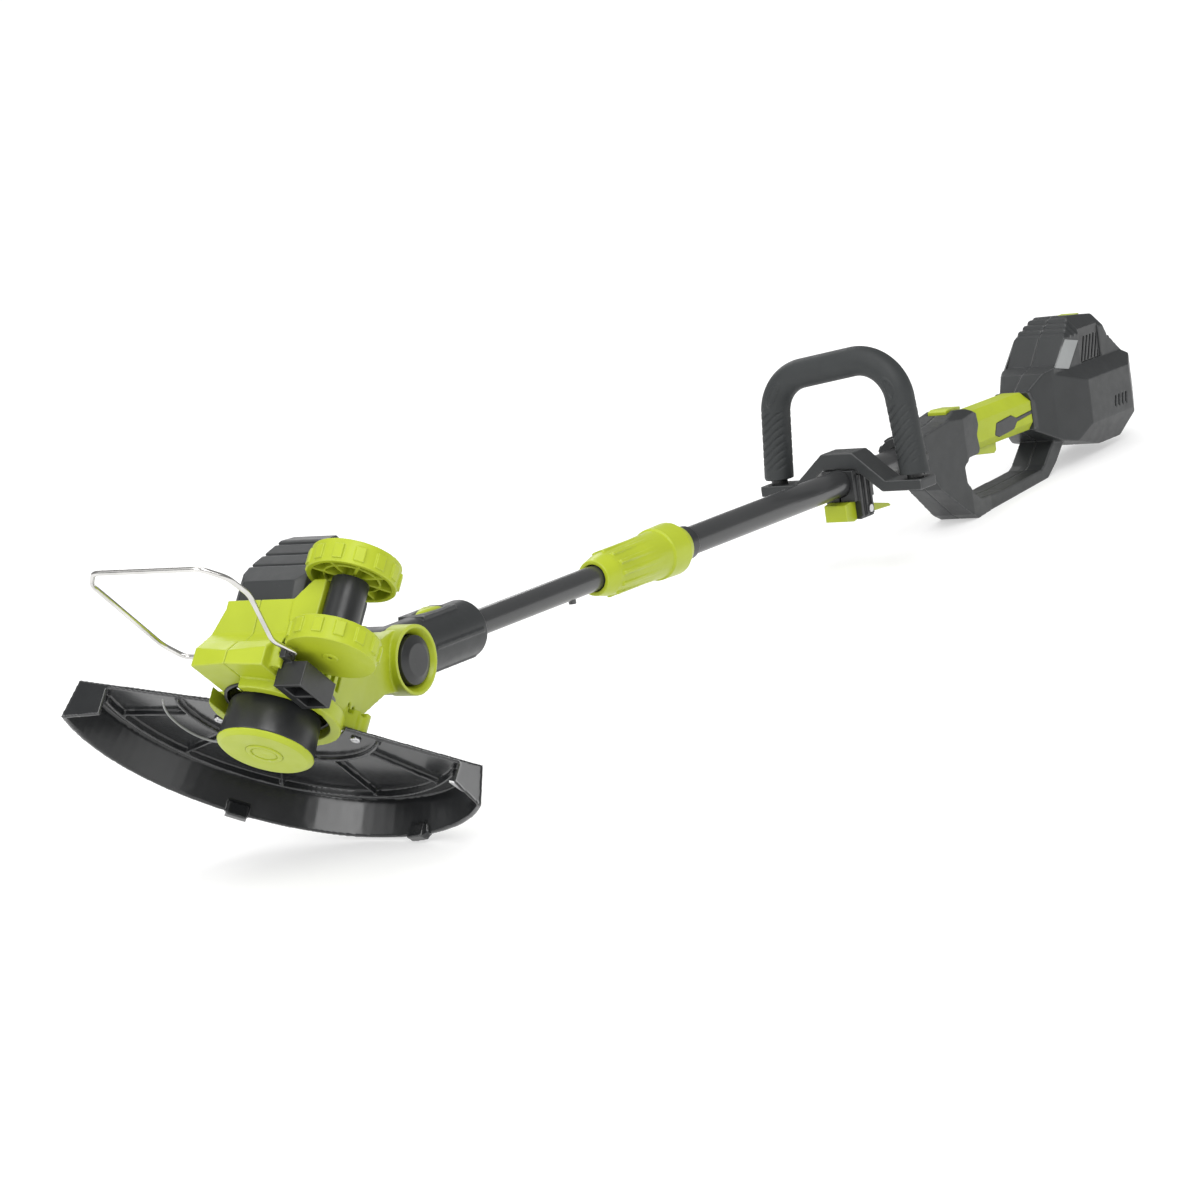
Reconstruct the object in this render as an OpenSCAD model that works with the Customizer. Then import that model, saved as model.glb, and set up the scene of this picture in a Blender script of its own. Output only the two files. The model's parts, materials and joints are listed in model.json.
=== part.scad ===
// Cordless string trimmer with telescoping shaft, tilting head and D handle. Millimetres.
// It lies on the floor on its guard and its D handle. +X runs to the rear, -Y is the operator's left.
// Modules work in the shaft frame (origin at the head pivot, X along the shaft) or in the head
// frame (X rearward, Z away from the spool) and are laid down at the end by placed().

/* [Shaft] */
// outer diameter of the lower, sliding tube
lower_tube_d = 20; // [16:0.5:24]
// outer diameter of the upper tube
upper_tube_d = 23; // [20:0.5:28]
// wall of both tubes
tube_wall = 1.2; // [0.8:0.1:2]
// where the upper tube starts, from the head pivot
upper_tube_start = 402; // [380:1:480]
// how far the lower tube reaches into the upper one
lower_tube_end = 560; // [480:1:640]

/* [Head] */
// tilt of the head on its pivot
head_tilt = 39; // [0:1:60]
// distance from the pivot to the spool axis
spool_offset = 97; // [80:1:120]
// radius of the guard at its rim
guard_r = 157; // [130:1:180]
// height of the guard's skirt
skirt_h = 30; // [15:1:45]
// outer radius of the spool housing
spool_r = 35; // [28:0.5:45]
// radius of the edging wheels
wheel_r = 34; // [25:0.5:40]
// thickness of the edging wheels
wheel_t = 18; // [10:0.5:25]
// diameter of the nylon line
line_d = 1.6; // [1.2:0.1:2.4]

/* [Handles] */
// outer diameter of the front loop's grip
loop_d = 25; // [20:0.5:32]
// diameter of the front loop's core
loop_core_d = 14; // [10:0.5:18]
// distance from the pivot to the front loop
loop_x = 693; // [600:1:740]
// half width of the D handle
d_half = 17; // [14:0.5:22]
// half width of the battery housing
bay_half = 38; // [30:0.5:45]
// height of the ribs on the battery housing
rib_h = 1.3; // [0.5:0.1:2]

/* [Placement] */
// tilt of the whole trimmer as it lies on the floor
lie_tilt = 3.69; // [0:0.01:8]
// shift of the head pivot from the middle of the footprint, along X
pivot_x = -467.8; // [-600:0.1:-300]
// shift of the shaft from the middle of the footprint, along Y
pivot_y = -19.25; // [-60:0.05:60]
// height of the head pivot above the floor
pivot_z = 125.83; // [90:0.01:160]

/* [Hidden] */
$fn = 64;
eps = 0.01;
big = 2000;
lime = [0.70, 0.78, 0.20];
dark = [0.20, 0.21, 0.22];
black = [0.09, 0.09, 0.10];
steel = [0.70, 0.71, 0.72];
silver = [0.62, 0.63, 0.64];
copper = [0.72, 0.45, 0.20];
board = [0.10, 0.32, 0.16];

// ---- frames and small helpers ----
module placed() translate([pivot_x, pivot_y, pivot_z]) rotate([0, lie_tilt, 0]) children();
module head() placed() rotate([0, head_tilt, 0]) children();
module at_spool() head() translate([-spool_offset, 0, 0]) children();
// a side profile (x, z) made into a slab from y0 to y1
module slab(y0, y1) translate([0, y1, 0]) rotate([90, 0, 0]) linear_extrude(y1 - y0) children();
// a profile in (y, z) made into a bar from x0 to x1
module bar(x0, x1) translate([x0, 0, 0]) rotate([90, 0, 90]) linear_extrude(x1 - x0) children();
// a plan profile (x, y) from z0 to z1
module plate(z0, z1) translate([0, 0, z0]) linear_extrude(z1 - z0) children();
module rod_x(x0, x1, d, z = 0) translate([x0, 0, z]) rotate([0, 90, 0]) cylinder(h = x1 - x0, d = d);
module rod_y(y0, y1, d) translate([0, y1, 0]) rotate([90, 0, 0]) cylinder(h = y1 - y0, d = d);
module rod_z(z0, z1, d) translate([0, 0, z0]) cylinder(h = z1 - z0, d = d);
module box(x0, x1, y0, y1, z0, z1) translate([x0, y0, z0]) cube([x1 - x0, y1 - y0, z1 - z0]);
module left_half() intersection() { children(); box(-big, big, -big, 0, -big, big); }
module right_half() intersection() { children(); box(-big, big, 0, big, -big, big); }
module both_sides() { children(); mirror([0, 1, 0]) children(); }

// a round rod along a path that stays close to the plane across "up", mitred at its corners
function unit(v) = v / norm(v);
function heading(p, i) = i == 0 ? unit(p[1] - p[0]) : i == len(p) - 1 ? unit(p[i] - p[i - 1])
    : unit(unit(p[i + 1] - p[i]) + unit(p[i] - p[i - 1]));
module sweep(p, d, up, n) {
    m = len(p);
    polyhedron(points = [for (i = [0:m - 1]) let (t = heading(p, i), s = unit(cross(t, up)), w = cross(s, t),
            k = t * unit(p[max(i, 1)] - p[max(i, 1) - 1])) for (j = [0:n - 1]) let (a = 360 * j / n)
                p[i] + d / 2 * (cos(a) / k * s + sin(a) * w)],
        faces = concat([[for (j = [0:n - 1]) n - 1 - j]], [[for (j = [0:n - 1]) (m - 1) * n + j]],
            [for (i = [0:m - 2]) for (j = [0:n - 1])
                [i * n + j, i * n + (j + 1) % n, (i + 1) * n + (j + 1) % n, (i + 1) * n + j]]));
}
// the same path with its corners rounded
function rounded(p, r) = concat([p[0]], [for (i = [1:len(p) - 2])
        let (a = p[i] + r * unit(p[i - 1] - p[i]), b = p[i] + r * unit(p[i + 1] - p[i]))
        for (t = [0:0.25:1]) (1 - t) * (1 - t) * a + 2 * t * (1 - t) * p[i] + t * t * b],
    [p[len(p) - 1]]);

// ---- head: motor housing ----
knuckle_r = 26;
knuckle_half = 33;
tongue_half = 14;
motor_r = 27;
motor_top = 22;
motor_low = -56;
housing_low = -80;
cover_low = -24;
cover_chin = [-143, -8];
cover_brow = [-118, 38];
cover_lean = atan2(cover_brow.y - cover_chin.y, cover_brow.x - cover_chin.x);
spool_top = -86;
spool_low = -117;
guard_top = -84;
guard_t = 3;
guard_from = -49;
guard_to = 109;
wheel_f = -134.4;
wheel_y = -65.3;
wheel_low_u = -65.6;
wheel_gap = 41;
wheel_lugs = 13;
hub_d = 27;
arm_low = wheel_low_u + wheel_t + 3;
arm_top = arm_low + 35;
// where the line leaves the drum, about the spool axis
line_at = 80;
ear_left = [11, 58];
ear_right = [47, -38];

module body_side() slab(-40, 40) polygon([[-152, housing_low], [-163, -86], [-163, -76], [-144, -50],
    [-146, cover_low], [-58, cover_low], [-24, 12], [0, 12], [0, -26], [-16, -36], [-44, -70],
    [-58, housing_low]]);
module body_plan() plate(-90, 30) polygon([[-163, -22], [-163, 22], [-150, 37], [-92, 38], [-44, 30],
    [0, 24], [0, -24], [-44, -30], [-92, -38], [-150, -37]]);
module body_front() bar(-170, 10) polygon([[-38, -90], [-38, -52], [-29, -30], [-29, -22], [-24, 14],
    [24, 14], [29, -22], [29, -30], [38, -52], [38, -90]]);
module nose_block() intersection() {
    slab(-31, 31) polygon([[-166, -84], [-166, -74], [-157, -62], [-120, -62], [-120, -84]]);
    plate(-90, -50) polygon([[-166, 0], [-163, -31], [-120, -31], [-120, 31], [-163, 31]]);
}
module spool_hood() translate([-spool_offset, 0, 0]) difference() {
    rod_z(-92, housing_low + eps, 96);
    rod_z(-93, -70, 80);
    // the hood is cut away at the front and at the rear, where the guard's plate is
    translate([-60, 0, -93]) cube([60, 40, 13.5]);
    translate([20, 6, -93]) rotate([0, 0, -20]) cube([60, 60, 9.5]);
}
module ear(p) translate([-spool_offset, 0, 0]) {
    translate([p.x, p.y, 0]) rod_z(guard_top, -68, 13);
    rotate([0, 0, atan2(p.y, p.x)]) box(30, norm(p), -5, 5, guard_top + 1, -68);
}
module housing_solid() {
    intersection() { body_side(); body_plan(); body_front(); }
    nose_block();
    spool_hood();
    ear(ear_left);
    ear(ear_right);
    rod_y(-knuckle_half, knuckle_half, 2 * knuckle_r);
    wheel_arm();
}
// arm on the left flank that carries the wheels' hub
module wheel_arm() bar(wheel_f - 12, wheel_f + 14) polygon([[-32, arm_low], [-29.7, -40], [-29.7, cover_low],
    [-42, arm_top], [wheel_y + 12, arm_top], [wheel_y + 12, arm_low]]);
module housing_voids() {
    translate([-spool_offset, 0, 0]) {
        rod_z(motor_low, 30, 2 * motor_r);
        rod_z(-79, motor_low + eps, 2 * motor_r + 2);
        rod_z(-100, -70, 76);
        for (p = [ear_left, ear_right]) translate([p.x, p.y, 0]) rod_z(-100, -70, 3.4);
    }
    // the guard's plate and hub pass under the housing
    translate([-spool_offset, 0, 0]) difference() {
        rod_z(guard_top - 20, guard_top, 400);
        rod_z(guard_top - 21, guard_top + 1, 97);
    }
    // slot for the neck's tongue, clear over the whole tilt
    rod_y(-tongue_half - 0.4, tongue_half + 0.4, 2 * knuckle_r + 2);
    slab(-tongue_half - 0.4, tongue_half + 0.4) polygon([[0, 0], [-20, 40], [60, 60], [60, -60], [0, -50]]);
    // recesses for the pivot buttons and the pivot barrel
    both_sides() translate([0, -knuckle_half - eps, 0]) rotate([-90, 0, 0])
        cylinder(h = 7, d1 = 47, d2 = 38);
    rod_y(-knuckle_half, knuckle_half, 38);
    // cooling slots on the left and right flanks
    both_sides() for (i = [0:3]) translate([-112 + 9 * i, -45, -66]) cube([4, 12, 12]);
    both_sides() for (i = [0:1]) translate([-62 + 7 * i, -45, -72]) cube([3, 20, 8]);
    // pockets for the lower wheel and the wire clip
    translate([wheel_f, wheel_y, 0]) rod_z(wheel_low_u - 1.6, wheel_low_u + wheel_t + 1.6, 2 * wheel_r + 3);
    box(-147.5, clip_rear, -60, -33.4, -97, clip_top);
    box(-156, -144, -47, -38.4, clip_top - 1, -66);
    translate([wheel_f, wheel_y, 0]) {
        rod_z(arm_low - 1, arm_top + 1, hub_d + 0.1);
        hub_tongue();
    }
    translate([clip_f, 0, clip_u]) both_sides() rod_y(-60, -32.6, wire_d + 0.14);
}
module housing_halves() difference() { housing_solid(); housing_voids(); }
module motor_housing_left() color(lime) head() left_half() housing_halves();
module motor_housing_right() color(lime) head() right_half() housing_halves();

module cover_outer() intersection() {
    slab(-32, 32) polygon([[-142, cover_low], cover_chin, cover_brow, [-108, 46], [-82, 46], [-68, 38],
        [-63, -6], [-64, cover_low]]);
    bar(-160, -40) polygon([[-30, cover_low], [-30, 6], [-19, 46], [19, 46], [30, 6], [30, cover_low]]);
    plate(cover_low, 50) polygon([[-144, -21], [-144, 21], [-138, 29], [-66, 29], [-62, 24], [-62, -24],
        [-66, -29], [-138, -29]]);
}
module motor_cover() color(dark) head() difference() {
    cover_outer();
    translate([-spool_offset, 0, 0]) rod_z(cover_low - 1, motor_top + 8, 2 * motor_r);
    // three shallow grooves across the slanted front
    for (z = [10, 22, 34]) translate([cover_chin.x + (z - cover_chin.y) / tan(cover_lean), 0, z])
        rotate([0, -cover_lean, 0]) box(-1.1, 1.1, -40, 40, -1.6, 1.6);
    // air slots at the back
    for (i = [-2:2]) translate([-76, 7 * i - 1.5, -10]) cube([20, 3, 34]);
}

module motor_can() color(steel) at_spool() difference() {
    rod_z(motor_low, motor_top, 2 * motor_r);
    rod_z(motor_low - 1, motor_top + 1, 8.1);
    rod_z(motor_low + 8, motor_top - 6, 44);
}
// ---- spinning pieces: rotor, fan, spool, line ----
module rotor() color(copper) at_spool() {
    rod_z(-107, motor_top + 4, 8);
    rod_z(motor_low + 12, motor_top - 10, 40);
}
module cooling_fan() color(black) at_spool() difference() {
    union() {
        rod_z(-78, -75.5, 50);
        rod_z(-78, -64, 14);
        for (i = [0:8]) rotate([0, 0, 40 * i]) translate([5.5, -0.8, -76]) cube([18.5, 1.6, 11]);
    }
    rod_z(-79, -63, 8);
}
module spool_housing() color(black) at_spool() difference() {
    union() {
        translate([0, 0, spool_low]) cylinder(h = 29, r1 = spool_r, r2 = spool_r - 2);
        rod_z(spool_top - 2.1, spool_top + 4, 54);
    }
    rod_z(spool_low - 1, spool_top - 4, 2 * spool_r - 5);
    rod_z(-120, -70, 8);
    rotate([0, 0, line_at]) rod_x(0, 50, 5, -107);
}
module spool_reel() color(dark) at_spool() difference() {
    union() {
        rod_z(-115, -113, 60);
        rod_z(-113, -94, 31);
        rod_z(-94, -92, 60);
    }
    rod_z(-120, -90, 8);
    rod_z(-120, -108.4, 27.8);
}
module line_coil() color([0.85, 0.86, 0.80]) at_spool() difference() {
    union() {
        for (i = [0:5]) translate([0, 0, -111.5 + 3.1 * i]) rotate_extrude() translate([24, 0]) circle(d = 3);
        rod_z(-112.5, -94.5, 48);
    }
    rod_z(-120, -90, 31);
}
module line_eyelet() color(steel) at_spool() rotate([0, 0, line_at])
    translate([spool_r - 3, 0, -107]) rotate([0, 90, 0]) difference() {
        cylinder(h = 3.6, d = 5);
        translate([0, 0, -1]) cylinder(h = 6, d = 2.4);
    }
// the line comes out of its eyelet and curls forward round the drum
module trimmer_line() color([0.85, 0.86, 0.80]) at_spool() sweep([for (p = concat([[31 * cos(line_at),
    31 * sin(line_at)]], [[8, 47], [8, 52], [5, 57], [-1, 62], [-10, 65], [-22, 66], [-36, 64], [-49, 59],
    [-60, 52]])) [p.x, p.y, -107]], line_d, [0, 0, 1], 12);
module spool_cap() color(lime) at_spool() difference() {
    union() {
        translate([0, 0, -121]) cylinder(h = 3, r1 = spool_r - 2.5, r2 = spool_r + 0.3);
        rod_z(-118, spool_low, 2 * spool_r + 0.6);
    }
    rod_z(-122, -110, 27.16);
}
module bump_button() color(lime) at_spool() {
    rod_z(-121.4, -117.5, 27);
    rod_z(-117.5, -116.4, 26);
}
module bump_spring() color(steel) at_spool() difference() {
    rod_z(-116.3, -108.5, 22);
    rod_z(-117, -108, 17);
}

// ---- guard ----
module sector(from, to) rotate([0, 0, from]) rotate_extrude(angle = to - from) children();
module guard_profile() polygon([[60, guard_top - guard_t], [146, guard_top - guard_t],
    [guard_r - 3, guard_top - skirt_h], [guard_r, guard_top - skirt_h], [guard_r - 6, guard_top],
    [78, guard_top], [60, guard_top]]);
module guard_body() {
    sector(guard_from, guard_to) guard_profile();
    sector(guard_from, guard_to) translate([49.5, guard_top - guard_t]) square([11, guard_t]);
    // rib ring, end walls and feet
    sector(guard_from + 1, guard_to - 1) translate([74, guard_top - 7]) square([2.5, 5]);
    sector(guard_from + 6, guard_to - 6) translate([132, guard_top - 9]) square([2.5, 7]);
    sector(guard_to - 1.2, guard_to) polygon([[129, guard_top - 1], [129, guard_top - 24],
        [guard_r - 1.5, guard_top - skirt_h], [guard_r - 7, guard_top - 1]]);
    sector(guard_from, guard_from + 1.2) polygon([[134, guard_top - 1], [134, guard_top - 18],
        [guard_r - 1.5, guard_top - skirt_h], [guard_r - 7, guard_top - 1]]);
    for (a = [-13, 43]) sector(a - 3, a + 3) polygon([[guard_r - 8, guard_top - skirt_h + 6],
        [guard_r - 8, guard_top - skirt_h - 4], [guard_r, guard_top - skirt_h - 4],
        [guard_r + 2.5, guard_top - skirt_h + 2], [guard_r - 2, guard_top - skirt_h + 8]]);
    for (a = [-30, 0, 32, 64, 92]) rotate([0, 0, a]) box(76, 133, -1, 1, guard_top - 7, guard_top - 1);
}
module guard() color(black) at_spool() difference() {
    guard_body();
    for (p = [ear_left, ear_right]) translate([p.x, p.y, 0]) rod_z(-100, -70, 4);
    cutter_blade();
}
module guard_screws() color(steel) at_spool() for (p = [ear_left, ear_right]) translate([p.x, p.y, 0]) {
    rod_z(-89.4, guard_top - guard_t, 8);
    rod_z(guard_top - guard_t, -74, 3.4);
}
module cutter_blade() rotate([0, 0, guard_from + 8]) translate([0, 0, guard_top - 14]) linear_extrude(1.4)
    polygon([[143, -9], [151, -9], [151, 7], [143, 4], [132, -4]]);
module line_cutter() color(steel) at_spool() cutter_blade();

// ---- wire, clips, wheels ----
wire_d = 3.2;
clip_f = -150;
clip_u = -70;
clip_rear = -110;
clip_top = -74;
module flower_wire() color(steel) head() sweep(rounded([[clip_f, -34.5, clip_u], [clip_f, -49, clip_u],
    [-178, -48, -74], [-230, -61, -65], [-255, -60, -65], [-269, -46, -65], [-269, 46, -65],
    [-252, 60, -65], [-226, 61, -65], [-165, 59, -68], [clip_f, 49, clip_u], [clip_f, 34.5, clip_u]], 5),
    wire_d, [0, 0, 1], 16);
module wire_clip() color(black) head() difference() {
    union() {
        box(-147.5, clip_rear, -57, -33.4, -93, clip_top);
        box(-156, -144, -43.5, -38.4, clip_top - 1, -67.6);
    }
    translate([clip_f, 0, clip_u]) rod_y(-60, -30, wire_d + 0.14);
    box(-144, -130, -55, -40, -97, -78);
    box(-127, clip_rear - 3, -55, -40, -97, -78);
}

module wheel_body() difference() {
    union() {
        rod_z(0, wheel_t, 2 * wheel_r - 3);
        for (i = [0:wheel_lugs - 1]) rotate([0, 0, i * 360 / wheel_lugs])
            box(wheel_r - 4, wheel_r, -3.6, 3.6, 4.5, wheel_t - 2.5);
    }
    // the side that faces the other wheel is open, with a hub and eight spokes
    difference() {
        rod_z(4, wheel_t + 1, 2 * wheel_r - 10);
        rod_z(3, wheel_t + 2, 16);
        for (i = [0:7]) rotate([0, 0, 45 * i]) box(4, wheel_r - 4, -1, 1, 3, wheel_t - 1);
        difference() { rod_z(3, wheel_t - 2, 42); rod_z(2, wheel_t, 38.5); }
    }
    rod_z(-1, wheel_t + 1, 8.14);
}
module at_wheels() head() translate([wheel_f, wheel_y, 0]) children();
module wheel_lower() color(lime) at_wheels() translate([0, 0, wheel_low_u]) wheel_body();
module wheel_upper() color(lime) at_wheels() translate([0, 0, wheel_low_u + 2 * wheel_t + wheel_gap])
    mirror([0, 0, 1]) wheel_body();
module hub_tongue() box(-6, 6, 10, 27, arm_low + 8, arm_top - 8);
module wheel_bracket() color(black) at_wheels() difference() {
    union() {
        translate([0, 0, wheel_low_u + wheel_t + 0.4]) cylinder(h = wheel_gap - 0.8, d = hub_d);
        hub_tongue();
    }
    rod_z(-100, 20, 8);
}
module wheel_axle() color(steel) at_wheels() {
    rod_z(wheel_low_u + 1, wheel_low_u + 2 * wheel_t + wheel_gap - 1, 8);
    rod_z(wheel_low_u - 1.2, wheel_low_u - 0.3, 11);
    rod_z(wheel_low_u - 0.5, wheel_low_u + 1.5, 6);
    rod_z(wheel_low_u + 2 * wheel_t + wheel_gap - 1.5, wheel_low_u + 2 * wheel_t + wheel_gap + 0.5, 6);
    rod_z(wheel_low_u + 2 * wheel_t + wheel_gap + 0.3, wheel_low_u + 2 * wheel_t + wheel_gap + 1.4, 11);
}

// ---- pivot and neck ----
neck_d = 45;
neck_end = 112;
module pivot_button() color(black) head() difference() {
    translate([0, -knuckle_half + 1.2, 0]) rotate([-90, 0, 0]) {
        cylinder(h = 10, d = 36.4);
        translate([0, 0, -2.6]) cylinder(h = 2.6, d1 = 24, d2 = 36.4, $fn = 14);
    }
    translate([0, -knuckle_half + 4, 0]) rod_y(0, 10, 28);
}
module pivot_spring() color(steel) head() difference() {
    rod_y(-knuckle_half + 4.2, -tongue_half - 5.2, 22);
    rod_y(-knuckle_half, -tongue_half, 17);
}
module pivot_cap() color(black) head() translate([0, knuckle_half - 1.2, 0]) rotate([90, 0, 0]) {
    cylinder(h = 14, d = 37.8);
    translate([0, 0, -2.6]) cylinder(h = 2.6, d1 = 24, d2 = 37.8, $fn = 14);
}
module pivot_pin() color(steel) head() {
    rod_y(-tongue_half - 5, tongue_half + 3.8, 14);
    rod_y(-tongue_half - 5, -tongue_half - 2, 37.9);
}
module pivot_neck() color(dark) placed() difference() {
    union() {
        rod_y(-tongue_half, tongue_half, 2 * knuckle_r - 2);
        intersection() {
            rod_x(0, 40, neck_d);
            box(0, 40, -tongue_half, tongue_half, -30, 30);
        }
        rod_x(34.5, neck_end - 4, neck_d);
        translate([neck_end - 4, 0, 0]) rotate([0, 90, 0]) cylinder(h = 4, d1 = neck_d, d2 = neck_d - 6);
        // raised frame around the release button
        translate([67, 0, 20.6]) cube([43, 24, 4.6], center = true);
        for (a = [1:4]) rotate([60 * a + 30, 0, 0]) box(42, neck_end - 8, -1.2, 1.2, 21.5, neck_d / 2 + 1);
    }
    rod_y(-60, 60, 14.1);
    rod_x(60, neck_end + 1, lower_tube_d + 0.14);
    translate([67, 0, 20]) cube([34.8, 18.8, 16], center = true);
}
module neck_button() color(lime) placed() {
    intersection() {
        translate([67, 0, 20.5]) cube([34, 18, 10], center = true);
        translate([67, 0, -34.5]) rotate([90, 0, 0]) cylinder(h = 30, d = 120, center = true);
    }
}
module neck_spring() color(steel) placed() difference() {
    translate([67, 0, 12.1]) cylinder(h = 3.2, d = 10);
    translate([67, 0, 12]) cylinder(h = 4, d = 7);
}

// ---- shaft ----
module lower_tube() color(dark) placed() difference() {
    rod_x(66, lower_tube_end, lower_tube_d);
    rod_x(60, lower_tube_end + 1, lower_tube_d - 2 * tube_wall);
    translate([258, 0, -20]) cylinder(h = 15, d = 6);
}
module tube_stud() color(black) placed() translate([258, 0, 0]) {
    translate([0, 0, -lower_tube_d / 2 - 3]) cylinder(h = 4.2, d = 6);
}
module upper_tube() color(dark) placed() difference() {
    rod_x(upper_tube_start, 880, upper_tube_d);
    rod_x(upper_tube_start - 1, 881, upper_tube_d - 2 * tube_wall);
}
sleeve_start = 291;
sleeve_end = 415;
module lock_collet() color(black) placed() difference() {
    union() {
        rod_x(300, upper_tube_start - 0.2, 24.6);
        rod_x(330, upper_tube_start - 4, 28);
        rod_x(upper_tube_start - 4, 430, 27.4);
    }
    rod_x(290, upper_tube_start, lower_tube_d + 0.14);
    rod_x(upper_tube_start - 0.2, 440, upper_tube_d);
}
module lock_sleeve() color(lime) placed() difference() {
    union() {
        translate([sleeve_start, 0, 0]) rotate([0, 90, 0]) cylinder(h = 14, d1 = 28, d2 = 34);
        translate([sleeve_start + 14, 0, 0]) rotate([0, 90, 0]) cylinder(h = 76, d1 = 34, d2 = 39);
        translate([sleeve_start + 90, 0, 0]) rotate([0, 90, 0]) cylinder(h = 24, d1 = 42, d2 = 43);
        translate([sleeve_start + 114, 0, 0]) rotate([0, 90, 0]) cylinder(h = 10, d1 = 40, d2 = 34);
        for (i = [0:11]) rotate([30 * i, 0, 0]) box(sleeve_start + 18, sleeve_start + 92, -1.6, 1.6, 16, 19);
    }
    rod_x(sleeve_start - 1, 299, lower_tube_d + 1.4);
    rod_x(298, 330.3, 24.8);
    rod_x(329.7, upper_tube_start + 30, 28.2);
}
module nose_nut() color(black) placed() difference() {
    union() {
        rod_x(782, 800, 39);
        for (i = [0:11]) rotate([30 * i, 0, 0]) box(784, 798, -3, 3, 15, 21.5);
    }
    rod_x(780, 802, upper_tube_d);
}

// ---- front loop handle ----
top_slope = 8;
leg_lean = 8;
leg_y = 66;
bend_y = 25;
bend_r = 36;
top_z = 97.5;
left_z = top_z - bend_y * tan(top_slope) - bend_r / cos(top_slope);
right_z = top_z + bend_y * tan(top_slope) - bend_r / cos(top_slope);
// the loop's centre line
loop_bends = concat([for (i = [0:8]) let (a = leg_lean + (90 - top_slope - leg_lean) * i / 8)
        [loop_x, bend_y + bend_r * cos(a), left_z + bend_r * sin(a)]],
    [for (i = [0:9]) let (a = 90 - top_slope + (90 + top_slope - leg_lean) * i / 9)
        [loop_x, bend_r * cos(a) - bend_y, right_z + bend_r * sin(a)]]);
module loop_path(d, foot) sweep(concat([[loop_x, leg_y, foot], [loop_x, leg_y, 5]], loop_bends,
    [[loop_x, -leg_y, 5], [loop_x, -leg_y, foot]]), d, [1, 0, 0], 24);
module loop_core() color(black) placed() {
    loop_path(loop_core_d, -8.5);
    for (s = [-1, 1]) translate([loop_x, s * leg_y, 0.2]) cylinder(h = 3.6, d = 19, $fn = 24);
}
module loop_grip() color(dark) placed() difference() {
    loop_path(loop_d, 4.2);
    loop_path(loop_core_d, -9);
}
module hat_profile() difference() {
    polygon([[-78, -9], [-78, 0], [-44, 0], [-15, 25], [15, 25], [44, 0], [78, 0], [78, -9], [40, -9],
        [16, 11], [-16, 11], [-40, -9]]);
}
module loop_bracket() color(dark) placed() difference() {
    bar(loop_x - 13, loop_x + 13) hat_profile();
    rod_x(loop_x - 20, loop_x + 20, upper_tube_d + 0.1);
    for (s = [-1, 1]) translate([loop_x, s * leg_y, -12]) cylinder(h = 16, d = loop_core_d);
}
module clamp_jaw() color(black) placed() difference() {
    union() {
        bar(loop_x - 16, loop_x + 16) polygon([[-15, -16], [-15, 10.6], [15, 10.6], [15, -16]]);
        both_sides() box(loop_x - 10, loop_x + 12, 10.5, 15, -32, -15);
        both_sides() for (i = [0:2]) box(loop_x - 10 + 8.5 * i, loop_x - 7 + 8.5 * i, 14, 17, -30, 6);
    }
    rod_x(loop_x - 20, loop_x + 20, upper_tube_d + 0.1);
    translate([loop_x + 3, 0, -25]) rod_y(-20, 20, 4);
    box(loop_x - 20, loop_x + 20, -0.8, 0.8, -30, 0);
}
module cam_pin() color(steel) placed() translate([loop_x + 3, 0, -25]) {
    rod_y(-17.4, 17.4, 4);
    rod_y(-18.4, -17.2, 6.5);
}
module clamp_block() color(lime) placed() slab(-10.5, 10.5)
    polygon([[loop_x - 26, -31], [loop_x - 26, -17], [loop_x - 20, -16], [loop_x - 6, -16],
        [loop_x - 6, -31], [loop_x - 14, -33]]);
module cam_lever() color(lime) placed() difference() {
    union() {
        translate([loop_x + 3, 0, -25]) rod_y(-10, 10, 15);
        slab(-9.4, 9.4) polygon([[loop_x + 3, -30], [loop_x + 6, -20.5], [loop_x + 48, -29],
            [loop_x + 52, -32]]);
    }
    translate([loop_x + 3, 0, -25]) rod_y(-20, 20, 4.12);
}

// ---- rear handle and battery housing ----
module handle_side() {
    // nose, front post, bottom bar, rear strut
    difference() {
        polygon([[800, -16], [800, 16], [812, 18], [841, 22], [866, 28], [884, 26], [897, 20], [1001, 20],
            [1036, -31], [1057, -31], [1034, -50], [1016, -69.6 + 140 * tan(lie_tilt)], [876, -69.6],
            [864, -64], [822, -34], [810, -19]]);
        polygon([[873, -15.5], [863, -22], [864, -35.5], [872, -46], [886, -53.5], [930, -54.5],
            [1004, -51], [1011, -48], [1036, -27], [1012, -14], [897, -11], [893, -15.5]]);
    }
}
module handle_plan() polygon([[799, -15], [799, 15], [830, 17], [868, 20], [906, 17], [1060, d_half],
    [1060, -d_half], [906, -17], [868, -20], [830, -17]]);
module bay_side() polygon([[1001, 20], [1020, 33], [1040, 37], [1062, 60], [1088, 75], [1130, 70],
    [1144, 48], [1177, 23], [1173, -14], [1146, -46], [1104, -46], [1036, -31], [1001, -14]]);
module bay_face() polygon([[-16, 76], [-26, 58], [-26, 30], [-bay_half, 18], [-bay_half, -22], [-26, -46],
    [26, -46], [bay_half, -22], [bay_half, 18], [26, 30], [26, 58], [16, 76]]);
module bay_plan() plate(-60, 90) polygon([[1001, -14], [1001, 14], [1030, 25], [1074, 38], [1156, 38],
    [1178, 28], [1178, -28], [1156, -38], [1074, -38], [1030, -25]]);
module bay_outer() intersection() { slab(-45, 45) bay_side(); bar(980, 1200) bay_face(); bay_plan(); }
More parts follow.
